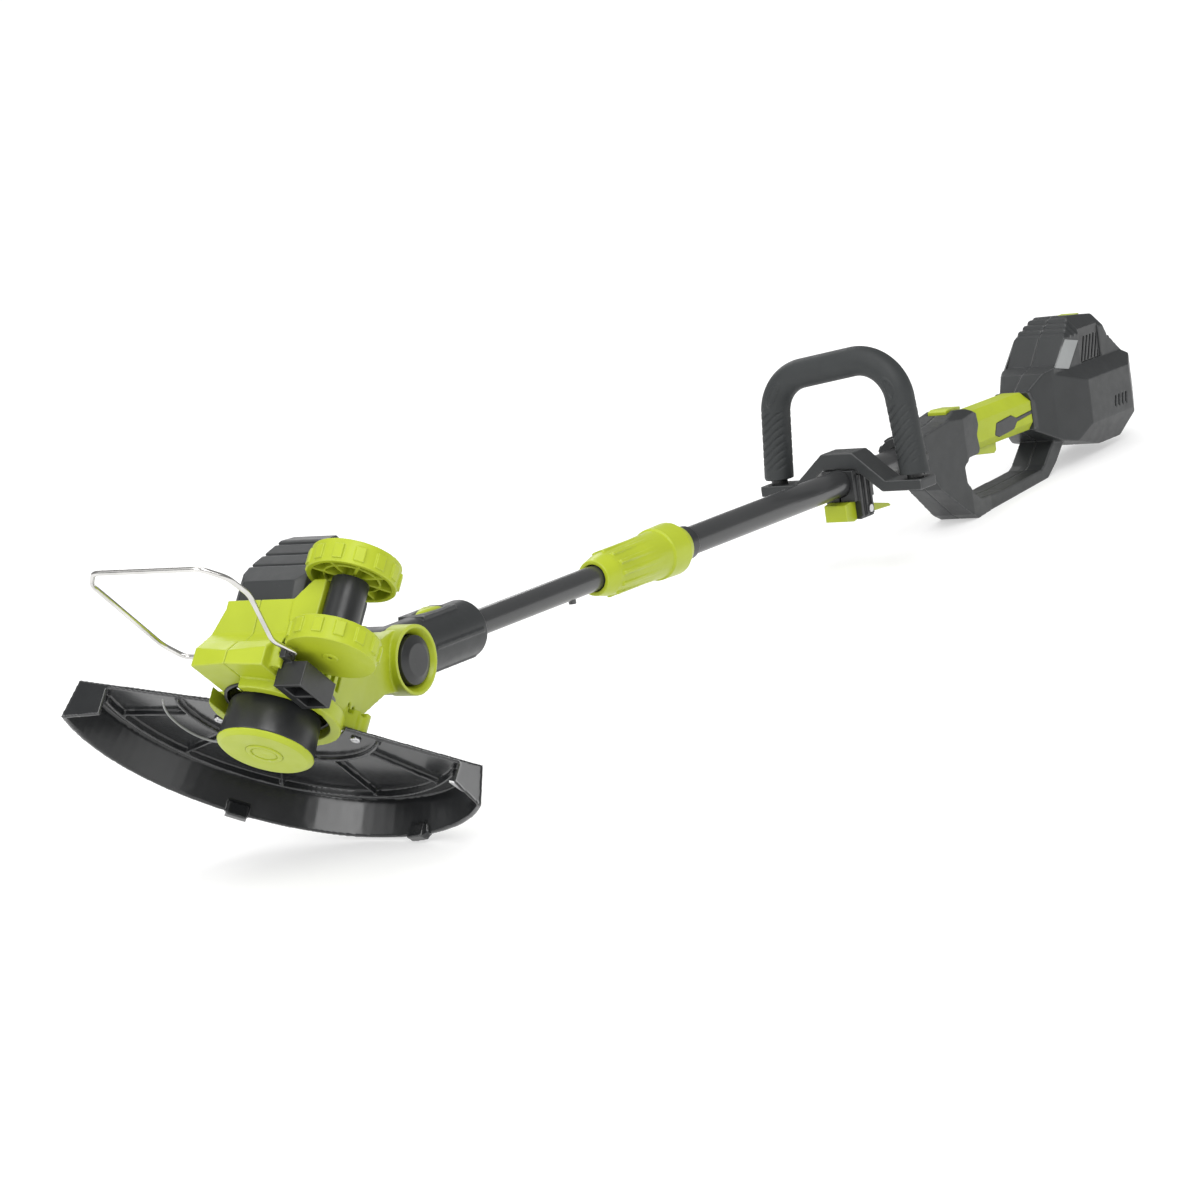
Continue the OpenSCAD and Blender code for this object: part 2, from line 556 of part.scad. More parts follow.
// three ribs that run over the top of the battery housing
module bay_ribs() intersection() {
    slab(-45, 45) offset(delta = rib_h) bay_side();
    bar(980, 1200) offset(delta = rib_h) bay_face();
    for (i = [0:2]) translate([1068 + 8.5 * i, 0, 66]) rotate([0, -28, 0]) box(-1.7, 1.7, -30, 30, -9, 20);
}
screw_at = [[834, -24], [868, -55], [1028, -45], [1046, 28], [1100, -36]];
module rear_solid() {
    intersection() {
        slab(-25, 25) handle_side();
        plate(-90, 60) handle_plan();
        bar(780, 1070) polygon([[-12, 30], [-20, 20], [-20, -90], [20, -90], [20, 20], [12, 30]]);
    }
    bay_outer();
    bay_ribs();
}
module battery_void() {
    slab(-27.5, 27.5) polygon([[1092, -29.5], [1200, -29.5], [1200, 22.5], [1092, 22.5]]);
    slab(-22, 22) polygon([[1092, 22], [1200, 22], [1200, 46.5], [1092, 46.5]]);
    // the slanted rear edge leaves the pack's shoulders bare
    slab(-27.5, 27.5) polygon([[1143, 46], [1156, 80], [1200, 80], [1200, 30]]);
}
module rear_voids() {
    rod_x(780, 880.2, upper_tube_d);
    // trigger, switch and button pockets
    slab(-9.4, 9.4) polygon([[885, -16], [885, 12], [967, 12], [967, -3], [950, -16]]);
    box(882, 892, -7, 7, 9, 17);
    box(857.5, 886.5, -9.4, 9.4, 16, 40);
    slab(-20, 20) polygon([[1040, -22], [1040, 24], [1088, 24], [1088, -22]]);
    box(966, 1041, -5, 5, -2, 6);
    battery_void();
    box(1086, 1093, -12, 12, -14, 14);
    // vent opening on each flank and its slots
    both_sides() box(1088, 1128, -30, -23, 31, 62);
    both_sides() for (i = [0:3]) translate([1120 + 7 * i, -45, -15]) rotate([0, 12, 0]) cube([3, 14, 10]);
    // seats for the grip, its inlays and the label panels
    difference() { slab(-30, 30) grip_side(); box(880, 1040, -12, 12, -11, 15.6); }
    both_sides() slab(-27, -25) label_profile();
    // open slot along the top, for the battery's latch
    box(1108, 1200, -9.4, 9.4, 45, 90);
    // screw holes, with wells on the right
    for (p = screw_at) translate([p.x, 0, p.y]) { rod_y(-6, 12.1, 3); rod_y(12, 45, 6.4); }
    translate([trigger_pin_x, 0, trigger_pin_z]) rod_y(-13, 13, 4);
}
module grip_side() polygon([[897, -13.4], [894, 1], [899, 9], [897, 21.5], [996, 21.5], [1002, 12],
    [1002, -14]]);
module label_profile() polygon([[1036, 35], [1061, 57], [1086, 52], [1062, 30]]);
module rear_body() difference() { rear_solid(); rear_voids(); }
module handle_left() color(dark) placed() left_half() rear_body();
module handle_right() color(dark) placed() right_half() rear_body();

module grip_shell() difference() {
    intersection() {
        slab(-16, 16) grip_side();
        bar(880, 1020) polygon([[-9, 21], [-15.6, 12], [-15.6, -7], [-11, -14], [11, -14], [15.6, -7],
            [15.6, 12], [9, 21]]);
    }
    box(880, 1040, -12, 12, -11, 15.6);
    box(880, 950, -10, 10, -20, -5);
    both_sides() slab(-17, -14.4) inlay_profile();
}
module inlay_profile() polygon([[930, -6], [935, 4], [963, 6], [972, 2], [1002, 3.6], [1002, 0.6],
    [973, -1.5], [966, -7], [938, -9]]);
module grip() color(lime) placed() grip_shell();
module grip_inlays() color(black) placed() both_sides() slab(-15.9, -14.4) inlay_profile();
trigger_pin_x = 944;
trigger_pin_z = 0;
module trigger() color(lime) placed() difference() {
    slab(-8.4, 8.4) union() {
        polygon([[889, -11], [890, -15.5], [900, -18], [938, -23], [942, -21], [943, -8], [949, -5],
            [949, 4], [939, 4], [932, -3], [912, -3]]);
        translate([trigger_pin_x, trigger_pin_z]) circle(d = 9);
    }
    translate([trigger_pin_x, 0, trigger_pin_z]) rod_y(-20, 20, 4.12);
}
module trigger_pin() color(steel) placed() translate([trigger_pin_x, 0, trigger_pin_z]) rod_y(-12, 12, 4);
module trigger_spring() color(steel) placed() difference() {
    translate([918, 0, -2.8]) cylinder(h = 6.8, d = 6);
    translate([918, 0, -3]) cylinder(h = 8, d = 4);
}
module power_switch() color(black) placed() {
    box(888, 934, -9.4, 9.4, 4.2, 12);
    translate([904, 0, 2.4]) cylinder(h = 2, d = 4);
}
module lock_off() color(lime) placed() slab(-8.9, 8.9) polygon([[858.5, 21], [858.5, 28], [864, 29.8],
    [885.5, 28.4], [885.5, 21]]);
module lock_off_spring() color(steel) placed() difference() {
    translate([872, 0, 16.1]) cylinder(h = 4.8, d = 8);
    translate([872, 0, 16]) cylinder(h = 6, d = 5.6);
}
module control_board() color(board) placed() {
    box(1046, 1084, -1, 1, -22, 24);
    box(1050, 1062, 1, 9, -14, -4);
    translate([1074, 1, 10]) rotate([-90, 0, 0]) cylinder(h = 12, d = 10);
}
module terminals() color(copper) placed() {
    box(1084.2, 1092, -12, 12, -14, 14);
    for (y = [-8, 0, 8]) box(1091.9, 1100, y - 0.6, y + 0.6, -8, 8);
}
module label_panels() color(silver) placed() both_sides() slab(-26.3, -25) label_profile();
module vent_grille() color(black) placed() both_sides() {
    difference() {
        box(1088, 1128, -24.6, -23, 31, 62);
        for (i = [0:5]) translate([1090 + 6.5 * i, -30, 32]) rotate([0, 24, 0]) cube([2.4, 12, 24]);
    }
}
module battery() color(black) placed() difference() {
    union() {
        slab(-27, 27) polygon([[1093, -29], [1172, -29], [1181, -8], [1180, 22], [1093, 22]]);
        slab(-21.5, 21.5) polygon([[1093, 21], [1180, 21], [1147, 46], [1093, 46]]);
        // stepped finger ridges on the slanted rear
        for (i = [0:4]) translate([1148 + 6 * i, 0, 45.5 - 4.5 * i]) rotate([0, 37, 0])
            box(-1.9, 1.9, -21, 21, -6, 5.2 - 0.3 * i);
    }
    // contact slots
    for (y = [-8, 0, 8]) box(1090, 1104, y - 1.4, y + 1.4, -10, 10);
    box(1106, 1130, -9.6, 9.6, 36, 50);
}
module battery_latch() color(lime) placed() {
    box(1109, 1127, -8.8, 8.8, 40, 71.5);
}
module handle_screws() color(steel) placed() for (p = screw_at) translate([p.x, 0, p.y]) {
    rod_y(-6, 12, 3);
    rod_y(12, 14, 5.8);
}

// every node by name
motor_housing_left();
motor_housing_right();
motor_cover();
motor_can();
rotor();
cooling_fan();
spool_housing();
spool_reel();
line_coil();
line_eyelet();
trimmer_line();
spool_cap();
bump_button();
bump_spring();
guard();
guard_screws();
line_cutter();
flower_wire();
wire_clip();
wheel_lower();
wheel_upper();
wheel_bracket();
wheel_axle();
pivot_button();
pivot_spring();
pivot_cap();
pivot_pin();
pivot_neck();
neck_button();
neck_spring();
lower_tube();
tube_stud();
upper_tube();
lock_collet();
lock_sleeve();
nose_nut();
loop_core();
loop_grip();
loop_bracket();
clamp_jaw();
cam_pin();
clamp_block();
cam_lever();
handle_left();
handle_right();
grip();
grip_inlays();
trigger();
trigger_pin();
trigger_spring();
power_switch();
lock_off();
lock_off_spring();
control_board();
terminals();
label_panels();
vent_grille();
battery();
battery_latch();
handle_screws();
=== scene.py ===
"""Looks for the string trimmer: rounded shells, foam, wire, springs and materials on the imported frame."""

import json
import math

import bmesh
import bpy
from mathutils import Matrix, Vector


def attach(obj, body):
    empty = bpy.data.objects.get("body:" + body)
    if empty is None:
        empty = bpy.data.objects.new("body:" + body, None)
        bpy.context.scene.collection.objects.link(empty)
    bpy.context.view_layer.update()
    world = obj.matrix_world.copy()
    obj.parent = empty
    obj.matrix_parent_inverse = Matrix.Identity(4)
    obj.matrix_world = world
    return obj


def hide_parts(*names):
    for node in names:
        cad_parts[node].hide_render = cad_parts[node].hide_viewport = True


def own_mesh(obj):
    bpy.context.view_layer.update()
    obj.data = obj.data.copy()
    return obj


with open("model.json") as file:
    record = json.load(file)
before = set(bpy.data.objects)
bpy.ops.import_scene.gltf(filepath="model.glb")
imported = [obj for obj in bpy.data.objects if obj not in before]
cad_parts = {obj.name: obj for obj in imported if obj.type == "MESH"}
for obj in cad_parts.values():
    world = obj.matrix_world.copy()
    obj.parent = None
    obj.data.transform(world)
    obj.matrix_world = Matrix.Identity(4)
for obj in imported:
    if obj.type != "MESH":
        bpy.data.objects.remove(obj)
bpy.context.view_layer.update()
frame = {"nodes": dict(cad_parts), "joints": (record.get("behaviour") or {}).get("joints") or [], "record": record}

MM = 0.001
RECORD = frame["record"]
SLOT = {p["node"]: p["material_slot"] for p in RECORD["subparts"]}
BODY = {n: body for body, nodes in RECORD["behaviour"]["bodies"].items() for n in nodes}
JOINT = {j["name"]: j for j in frame["joints"]}

# ---- frames: the shaft's, the head's and the spool's, all in millimetres ----
ALONG = Vector(JOINT["shaft_slide"]["axis"]).normalized()
ACROSS = Vector((0, 1, 0))
ABOVE = ALONG.cross(ACROSS)
HEAD_UP = Vector(JOINT["spool_spin"]["axis"]).normalized()
HEAD_REAR = ACROSS.cross(HEAD_UP)
PIVOT = Vector(JOINT["head_tilt"]["pos_m"])


def placed(origin, x, y, z):
    """The matrix that takes millimetres in a frame with these axes to metres in the row frame."""
    turn = Matrix((x, y, z)).transposed().to_4x4()
    return Matrix.Translation(origin) @ turn @ Matrix.Scale(MM, 4)


SHAFT = placed(PIVOT, ALONG, ACROSS, ABOVE)
HEAD = placed(PIVOT, HEAD_REAR, ACROSS, HEAD_UP)
SPOOL_OFFSET = 97
SPOOL = HEAD @ Matrix.Translation((-SPOOL_OFFSET, 0, 0))
EYELET_AT = 80
EYELET_Z = -107
WHEEL_AXIS = (-134.4, -65.3, 0)
NECK_BUTTON_X, TRIGGER_SPRING_X, LOCK_SPRING_X = 67, 918, 872

# ---- camera: low, from the front left, with a long lens ----
CAMERA_AT = Vector((-2837, -2089, 592))
CAMERA_RIGHT = Vector((0.5307, -0.8363, -0.1376))
CAMERA_DOWN = Vector((-0.2091, 0.0281, -0.9775))
CAMERA_INTO = Vector((0.8213, 0.5476, -0.16))
LENS = 147.5


def make_camera():
    data = bpy.data.cameras.new("camera")
    data.lens = LENS
    data.sensor_width = 36
    data.clip_end = 200
    camera = bpy.data.objects.new("camera", data)
    bpy.context.scene.collection.objects.link(camera)
    turn = SHAFT.to_3x3().normalized()
    axes = Matrix((turn @ CAMERA_RIGHT, turn @ -CAMERA_DOWN, turn @ -CAMERA_INTO)).transposed()
    camera.matrix_world = Matrix.Translation(SHAFT @ CAMERA_AT) @ axes.to_4x4()
    bpy.context.scene.camera = camera


make_camera()


# ---- building blocks ----
def smooth_shaded(mesh):
    mesh.shade_smooth()
    return mesh


def new_object(name, mesh):
    ob = bpy.data.objects.new(name, mesh)
    bpy.context.scene.collection.objects.link(ob)
    return ob


def stand_for(ob, paint, *nodes):
    """ob takes over from these CAD nodes: their body and this paint."""
    ob.data.materials.clear()
    ob.data.materials.append(paint)
    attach(ob, BODY[nodes[0]])
    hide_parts(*nodes)
    return ob


def grid_mesh(name, rings, place, closed=False):
    """A mesh from equal rings of points. Closed joins the last ring to the first, otherwise both ends
    are capped."""
    bm = bmesh.new()
    made = [[bm.verts.new(place @ Vector(p)) for p in ring] for ring in rings]
    n = len(made[0])
    pairs = list(zip(made, made[1:]))
    if closed:
        pairs.append((made[-1], made[0]))
    for a, b in pairs:
        for i in range(n):
            bm.faces.new((a[i], a[(i + 1) % n], b[(i + 1) % n], b[i]))
    if not closed:
        bm.faces.new(made[0])
        bm.faces.new(made[-1])
    bmesh.ops.recalc_face_normals(bm, faces=bm.faces)
    mesh = bpy.data.meshes.new(name)
    bm.to_mesh(mesh)
    bm.free()
    return smooth_shaded(mesh)


def turned(name, profile, place, segments=96, wave=None):
    """A closed profile of (radius, height) turned about the frame's Z axis. wave(angle, r, z) adds to r."""
    rings = []
    for i in range(segments):
        a = 2 * math.pi * i / segments
        ring = []
        for r, z in profile:
            rr = r + (wave(a, r, z) if wave else 0)
            ring.append((rr * math.cos(a), rr * math.sin(a), z))
        rings.append(ring)
    return grid_mesh(name, rings, place, closed=True)


def soft_corners(profile, radius, steps=4):
    """The closed profile with each corner rounded by an arc-like curve."""
    out = []
    n = len(profile)
    for i in range(n):
        p, before, after = Vector(profile[i]), Vector(profile[i - 1]), Vector(profile[(i + 1) % n])
        r = min(radius, (before - p).length / 2.05, (after - p).length / 2.05)
        a = p + (before - p).normalized() * r
        b = p + (after - p).normalized() * r
        for k in range(steps + 1):
            t = k / steps
            q = a * (1 - t) ** 2 + p * 2 * t * (1 - t) + b * t ** 2
            out.append((q.x, q.y))
    return out


def rounded_path(points, radius, steps=8):
    out = [Vector(points[0])]
    for before, p, after in zip(points, points[1:], points[2:]):
        before, p, after = Vector(before), Vector(p), Vector(after)
        r = min(radius, (before - p).length / 2.05, (after - p).length / 2.05)
        a = p + (before - p).normalized() * r
        b = p + (after - p).normalized() * r
        for k in range(steps + 1):
            t = k / steps
            out.append(a * (1 - t) ** 2 + p * 2 * t * (1 - t) + b * t ** 2)
    out.append(Vector(points[-1]))
    return out


def even_path(points, step):
    """The same path with points a step apart."""
    out = [points[0]]
    left = step
    for a, b in zip(points, points[1:]):
        length = (b - a).length
        at = left
        while at < length:
            out.append(a + (b - a) * (at / length))
            at += step
        left = at - length
    out.append(points[-1])
    return out


def swept(name, path, radius, place, side=(1, 0, 0), around=24, wave=None):
    """A round rod along a path near the plane across side. wave(run, angle, point) adds to the radius."""
    rings = []
    side = Vector(side)
    run = 0
    for i, p in enumerate(path):
        ahead = path[min(i + 1, len(path) - 1)] - path[max(i - 1, 0)]
        t = ahead.normalized()
        s = t.cross(side).normalized()
        w = s.cross(t)
        if i:
            run += (p - path[i - 1]).length
        ring = []
        for j in range(around):
            a = 2 * math.pi * j / around
            r = radius + (wave(run, a, p) if wave else 0)
            ring.append(p + (s * math.cos(a) + w * math.sin(a)) * r)
        rings.append(ring)
    return grid_mesh(name, rings, place)


def pulse(x, width):
    """1 at 0, falling smoothly to 0 at width."""
    t = min(1, abs(x) / width)
    return (1 - t * t) ** 2


def helix(name, radius, wire, start, end, turns, place):
    """A compression spring about the frame's Z axis, with its end turns closed up."""
    steps = int(turns * 28)
    path = []
    for i in range(steps + 1):
        t = i / steps
        a = 2 * math.pi * turns * t
        rise = t - 0.07 * math.sin(2 * math.pi * t)
        path.append(Vector((radius * math.cos(a), radius * math.sin(a), start + (end - start) * rise)))
    rings = []
    for i, p in enumerate(path):
        t = (path[min(i + 1, steps)] - path[max(i - 1, 0)]).normalized()
        out = Vector((p.x, p.y, 0)).normalized()
        out = (out - t * out.dot(t)).normalized()
        up = t.cross(out)
        rings.append([p + (out * math.cos(b) + up * math.sin(b)) * wire / 2
                      for b in (2 * math.pi * k / 10 for k in range(10))])
    return grid_mesh(name, rings, place)


QUICK_VOXEL = 1.0


def moulded(node, voxel, rounds, paint, start=None):
    """The CAD solid with its edges rounded as a mould leaves them, replacing the node."""
    ob = new_object(node + "_shell", start or frame["nodes"][node].data.copy())
    weld = ob.modifiers.new("weld", "WELD")
    weld.merge_threshold = 1e-6
    voxels = ob.modifiers.new("voxels", "REMESH")
    voxels.mode = "VOXEL"
    voxels.voxel_size = voxel * MM * QUICK_VOXEL
    soften = ob.modifiers.new("soften", "SMOOTH")
    soften.factor = 0.5
    soften.iterations = rounds
    graph = bpy.context.evaluated_depsgraph_get()
    mesh = bpy.data.meshes.new_from_object(ob.evaluated_get(graph))
    ob.modifiers.clear()
    ob.data = smooth_shaded(mesh)
    return stand_for(ob, paint, node)


# ---- materials ----
def socket_mix(tree, factor, a, b):
    mix = tree.nodes.new("ShaderNodeMix")
    mix.data_type = "RGBA"
    tree.links.new(factor, mix.inputs["Factor"])
    mix.inputs["A"].default_value = (*a, 1) if not hasattr(a, "links") else (0, 0, 0, 1)
    mix.inputs["B"].default_value = (*b, 1)
    if hasattr(a, "links"):
        tree.links.new(a, mix.inputs["A"])
    return mix.outputs["Result"]


def remap(tree, value, low, high, to_low, to_high):
    node = tree.nodes.new("ShaderNodeMapRange")
    tree.links.new(value, node.inputs["Value"])
    for key, number in zip(("From Min", "From Max", "To Min", "To Max"), (low, high, to_low, to_high)):
        node.inputs[key].default_value = number
    return node.outputs["Result"]


def noise(tree, scale, detail=3.0, roughness=0.5, stretch=None):
    place = tree.nodes.new("ShaderNodeTexCoord").outputs["Object"]
    if stretch:
        mapping = tree.nodes.new("ShaderNodeMapping")
        mapping.inputs["Scale"].default_value = stretch
        tree.links.new(place, mapping.inputs["Vector"])
        place = mapping.outputs["Vector"]
    node = tree.nodes.new("ShaderNodeTexNoise")
    node.inputs["Scale"].default_value = scale
    node.inputs["Detail"].default_value = detail
    node.inputs["Roughness"].default_value = roughness
    tree.links.new(place, node.inputs["Vector"])
    return node.outputs["Fac"]


def surface(name, colour, rough, metal=0.0, grain=1400, bump=0.02, vary=0.08, rough_vary=0.06, coat=0.0,
            edge=0.0, dust=0.0, stretch=None, specular=0.5):
    """A moulded or metal surface: blotchy colour, fine grain, uneven gloss, edges painted paler as a highlight,
    and dust.
    """
    mat = bpy.data.materials.new(name)
    mat.use_nodes = True
    tree = mat.node_tree
    shader = tree.nodes["Principled BSDF"]
    shader.inputs["Metallic"].default_value = metal
    shader.inputs["Coat Weight"].default_value = coat
    shader.inputs["Coat Roughness"].default_value = 0.12
    shader.inputs["Specular IOR Level"].default_value = specular
    blotch = noise(tree, 26, 4)
    lighter = [min(1, c * (1 + vary)) for c in colour]
    darker = [c * (1 - vary) for c in colour]
    tint = socket_mix(tree, remap(tree, blotch, 0.35, 0.65, 0, 1), darker, lighter)
    if dust:
        specks = noise(tree, 320, 5, 0.7)
        pale = [c + dust * (0.6 - c) for c in colour]
        tint = socket_mix(tree, remap(tree, specks, 0.6, 0.74, 0, 0.7), tint, pale)
    # Painted highlight: the colour is lightened along sharp edges (found by pointiness) to stand in for light
    # catching them.
    if edge:
        sharp = tree.nodes.new("ShaderNodeNewGeometry").outputs["Pointiness"]
        painted_edge_highlight = [c + edge * (1 - c) for c in colour]
        tint = socket_mix(tree, remap(tree, sharp, 0.52, 0.6, 0, 0.8), tint, painted_edge_highlight)
    tree.links.new(tint, shader.inputs["Base Color"])
    gloss = noise(tree, 90, 5, 0.6, stretch)
    tree.links.new(remap(tree, gloss, 0.3, 0.7, rough - rough_vary, rough + rough_vary),
                   shader.inputs["Roughness"])
    fine = noise(tree, grain, 3, 0.6, stretch)
    relief = tree.nodes.new("ShaderNodeBump")
    relief.inputs["Strength"].default_value = 0.6
    relief.inputs["Distance"].default_value = bump * MM
    tree.links.new(fine, relief.inputs["Height"])
    tree.links.new(relief.outputs["Normal"], shader.inputs["Normal"])
    return mat


LIME = (0.365, 0.435, 0.018)
# edge in these finishes and in GUARD_BLACK sets how strongly a highlight is painted along sharp edges.
PAINT = {
    "lime_shell": surface("lime_plastic", LIME, 0.36, grain=1500, bump=0.02, vary=0.04, edge=0.12,
                          specular=0.4),
    "lime_wheel": surface("lime_wheel_plastic", LIME, 0.42, grain=1300, bump=0.03, vary=0.05, edge=0.10,
                          dust=0.02, specular=0.35),
    "dark_shell": surface("grey_plastic", (0.028, 0.030, 0.031), 0.40, grain=1900, bump=0.03, vary=0.06,
                          edge=0.16, dust=0.02, specular=0.4),
    "black_plastic": surface("black_plastic", (0.020, 0.021, 0.022), 0.34, grain=1700, bump=0.02, vary=0.10,
                             edge=0.09, dust=0.02),
    "dark_rubber": surface("foam_rubber", (0.029, 0.032, 0.033), 0.54, grain=1100, bump=0.06, vary=0.08,
                           dust=0.02, specular=0.4),
    "grip_lime": surface("lime_rubber", LIME, 0.5, grain=1200, bump=0.05, vary=0.05, specular=0.35),
    "tube_paint": surface("tube_paint", (0.034, 0.035, 0.036), 0.3, grain=1600, bump=0.004, vary=0.04,
                          rough_vary=0.02, coat=0.35),
    "steel": surface("brushed_steel", (0.60, 0.60, 0.61), 0.3, 1.0, 700, 0.01, 0.06, stretch=(1, 12, 12)),
    "spring_steel": surface("bright_wire", (0.66, 0.65, 0.63), 0.2, 1.0, 900, 0.01, 0.14, 0.07),
    "copper": surface("copper", (0.72, 0.33, 0.16), 0.32, 1.0, 800, 0.02, 0.1),
    "board": surface("board_laminate", (0.03, 0.16, 0.06), 0.4, grain=2200, bump=0.03, vary=0.15),
    "nylon": surface("nylon_line", (0.20, 0.205, 0.20), 0.28, grain=1500, bump=0.01, vary=0.05, coat=0.3),
    "label": surface("satin_label", (0.30, 0.31, 0.31), 0.34, 0.9, 1600, 0.012, 0.05, stretch=(14, 14, 1)),
}
GUARD_BLACK = surface("guard_plastic", (0.014, 0.015, 0.016), 0.2, grain=1500, bump=0.006, vary=0.10,
                      rough_vary=0.03, coat=0.3, edge=0.10)


def paint_of(node):
    return PAINT[SLOT[node]]


for name, node in frame["nodes"].items():
    node.data.materials.clear()
    node.data.materials.append(paint_of(name))


# ---- the nylon line ----
def trimmer_line():
    """The loose end of the cutting line: out of its eyelet, then curling forward round the drum."""
    eyelet = math.radians(EYELET_AT)
    plan = [(31 * math.cos(eyelet), 31 * math.sin(eyelet)), (8, 47), (8, 52), (5, 57), (-1, 62),
            (-10, 65), (-22, 66), (-36, 64), (-49, 59), (-60, 52)]
    path = even_path(rounded_path([(x, y, EYELET_Z) for x, y in plan], 9), 4)
    ob = new_object("cutting_line", swept("cutting_line", path, 0.8, SPOOL, (0, 0, 1), 16))
    stand_for(ob, paint_of("trimmer_line"), "trimmer_line")


trimmer_line()


# ---- shells taken from the CAD solids with their edges rounded ----
SHELLS = {  # node: voxel and rounds of smoothing
    "motor_housing_left": (0.8, 3), "motor_housing_right": (0.8, 3),
    "wheel_lower": (0.5, 2), "wheel_upper": (0.5, 2), "wheel_bracket": (0.7, 2), "wire_clip": (0.5, 2),
    "pivot_button": (0.5, 2), "pivot_cap": (0.5, 2), "pivot_neck": (0.7, 3),
    "lock_sleeve": (0.6, 4), "lock_collet": (0.6, 2), "nose_nut": (0.6, 3), "loop_bracket": (0.7, 3),
    "clamp_jaw": (0.5, 2), "clamp_block": (0.5, 3), "cam_lever": (0.5, 3), "handle_left": (0.85, 3),
    "handle_right": (0.85, 3), "grip": (0.6, 3), "grip_inlays": (0.4, 2), "trigger": (0.5, 4),
    "lock_off": (0.4, 5), "battery": (0.8, 4), "battery_latch": (0.5, 3), "vent_grille": (0.4, 1),
}
for name, (voxel, rounds) in SHELLS.items():
    moulded(name, voxel, rounds, paint_of(name))
moulded("guard", 0.95, 3, GUARD_BLACK)


# ---- motor cover and can ----
CHIN_X, CHIN_Z, COVER_LEAN = -143, -8, math.radians(61.5)
GROOVE_RISES, GROOVE_DEPTH, GROOVE_HALF = (18, 30, 42), 1.7, 1.9
SLOT_PITCH, SLOT_HALF, SLOT_DEPTH = 7, 1.5, 2.6


def cover_cuts(x, y, z):
    """How deep the cover is cut at this place in the head frame: grooves on its front, slots on its back."""
    front = (x - CHIN_X) * math.sin(COVER_LEAN) - (z - CHIN_Z) * math.cos(COVER_LEAN)
    up = (x - CHIN_X) * math.cos(COVER_LEAN) + (z - CHIN_Z) * math.sin(COVER_LEAN)
    if front < 3 and z > -4:
        grooves = [rise / math.sin(COVER_LEAN) for rise in GROOVE_RISES]
        return GROOVE_DEPTH * max(pulse(up - at, GROOVE_HALF) for at in grooves)
    if x > -68 and -10 < z < 22 and abs(y) < 17:
        from_slot = abs((y + SLOT_PITCH / 2) % SLOT_PITCH - SLOT_PITCH / 2)
        return SLOT_DEPTH if from_slot < SLOT_HALF else 0
    return 0


def motor_cover():
    """The cover from its outer faces, so that its flanks stay whole where the solid's bore thins them."""
    bm = bmesh.new()
    bm.from_mesh(frame["nodes"]["motor_cover"].data)
    hull = bmesh.ops.convex_hull(bm, input=bm.verts)
    spare = [g for g in hull["geom_interior"] + hull["geom_unused"] if isinstance(g, bmesh.types.BMVert)]
    bmesh.ops.delete(bm, geom=list(set(spare)), context="VERTS")
    mesh = bpy.data.meshes.new("cover_outside")
    bm.to_mesh(mesh)
    bm.free()
    ob = moulded("motor_cover", 0.6, 2, paint_of("motor_cover"), start=mesh)
    to_head = HEAD.inverted()
    axis = HEAD @ Vector((-SPOOL_OFFSET, 0, 0))
    for v in ob.data.vertices:
        depth = cover_cuts(*(to_head @ v.co))
        if depth:
            inward = axis + HEAD_UP * (v.co - axis).dot(HEAD_UP) - v.co
            v.co += inward.normalized() * depth * MM


def motor_can():
    """The steel can, with its top shoulder drawn in under the cover."""
    profile = soft_corners([(4.05, -56), (27, -56), (27, 12), (24.2, 20.5), (21, 22), (4.05, 22), (4.05, 16),
                            (22, 16), (22, -48), (4.05, -48)], 0.9)
    ob = new_object("drawn_can", turned("drawn_can", profile, SPOOL, 96))
    stand_for(ob, paint_of("motor_can"), "motor_can")


motor_cover()
motor_can()


# ---- spool ----
def spool_drum():
    bottom, top, r_low, r_top, neck, hole = -117, -88, 35, 33, 27, 4
    profile = soft_corners([(hole, top + 6), (hole, top + 1.9), (r_low - 3, top + 1.9 - 2),
                            (r_low - 2.7, bottom), (r_low, bottom), (r_low - 0.3, bottom + 6),
                            (r_top, top), (neck, top + 0.6), (neck, top + 6)], 1.1)
    ob = new_object("spool_drum", turned("spool_drum", profile, SPOOL, 144))
    stand_for(ob, paint_of("spool_housing"), "spool_housing")


def spool_lid():
    """Lime lid: a bevelled rim, a shallow dish and two finger marks."""
    rim, low, high, bore = 35.3, -121, -117, 13.58
    profile = soft_corners([(bore, high - 1), (bore, low + 0.3), (24, low + 0.1), (31.5, low),
                            (rim - 0.6, low + 2.2), (rim, low + 3), (rim, high), (20, high)], 0.8)

    def marks(angle, r, z):
        return -0.35 * max(0, math.cos(angle * 12)) ** 8 if r > rim - 0.7 else 0

    ob = new_object("spool_lid", turned("spool_lid", profile, SPOOL, 192, marks))
    stand_for(ob, paint_of("spool_cap"), "spool_cap")


def bump_knob():
    low, mid, high, r = -121.4, -117.5, -116.4, 13.5
    profile = soft_corners([(0.05, low + 0.5), (8.6, low + 0.4), (9, low + 1.1), (9.6, low + 1.1), (10, low),
                            (12.6, low), (r, low + 0.7), (r, mid), (r - 0.5, high), (0.05, high)], 0.25, 3)
    ob = new_object("bump_knob", turned("bump_knob", profile, SPOOL, 96))
    stand_for(ob, paint_of("bump_button"), "bump_button")


def spool_eyelet():
    """A steel ring where the line leaves the drum."""
    out = Matrix.Rotation(math.radians(EYELET_AT), 4, "Z") @ Matrix.Translation((0, 0, EYELET_Z))
    profile = soft_corners([(1.25, 32.2), (2.45, 32.2), (2.45, 35.3), (1.25, 35.3)], 0.5)
    ring = turned("eyelet", profile, SPOOL @ out @ Matrix.Rotation(math.radians(90), 4, "Y"), 40)
    stand_for(new_object("eyelet", ring), paint_of("line_eyelet"), "line_eyelet")


spool_drum()
spool_lid()
bump_knob()
spool_eyelet()


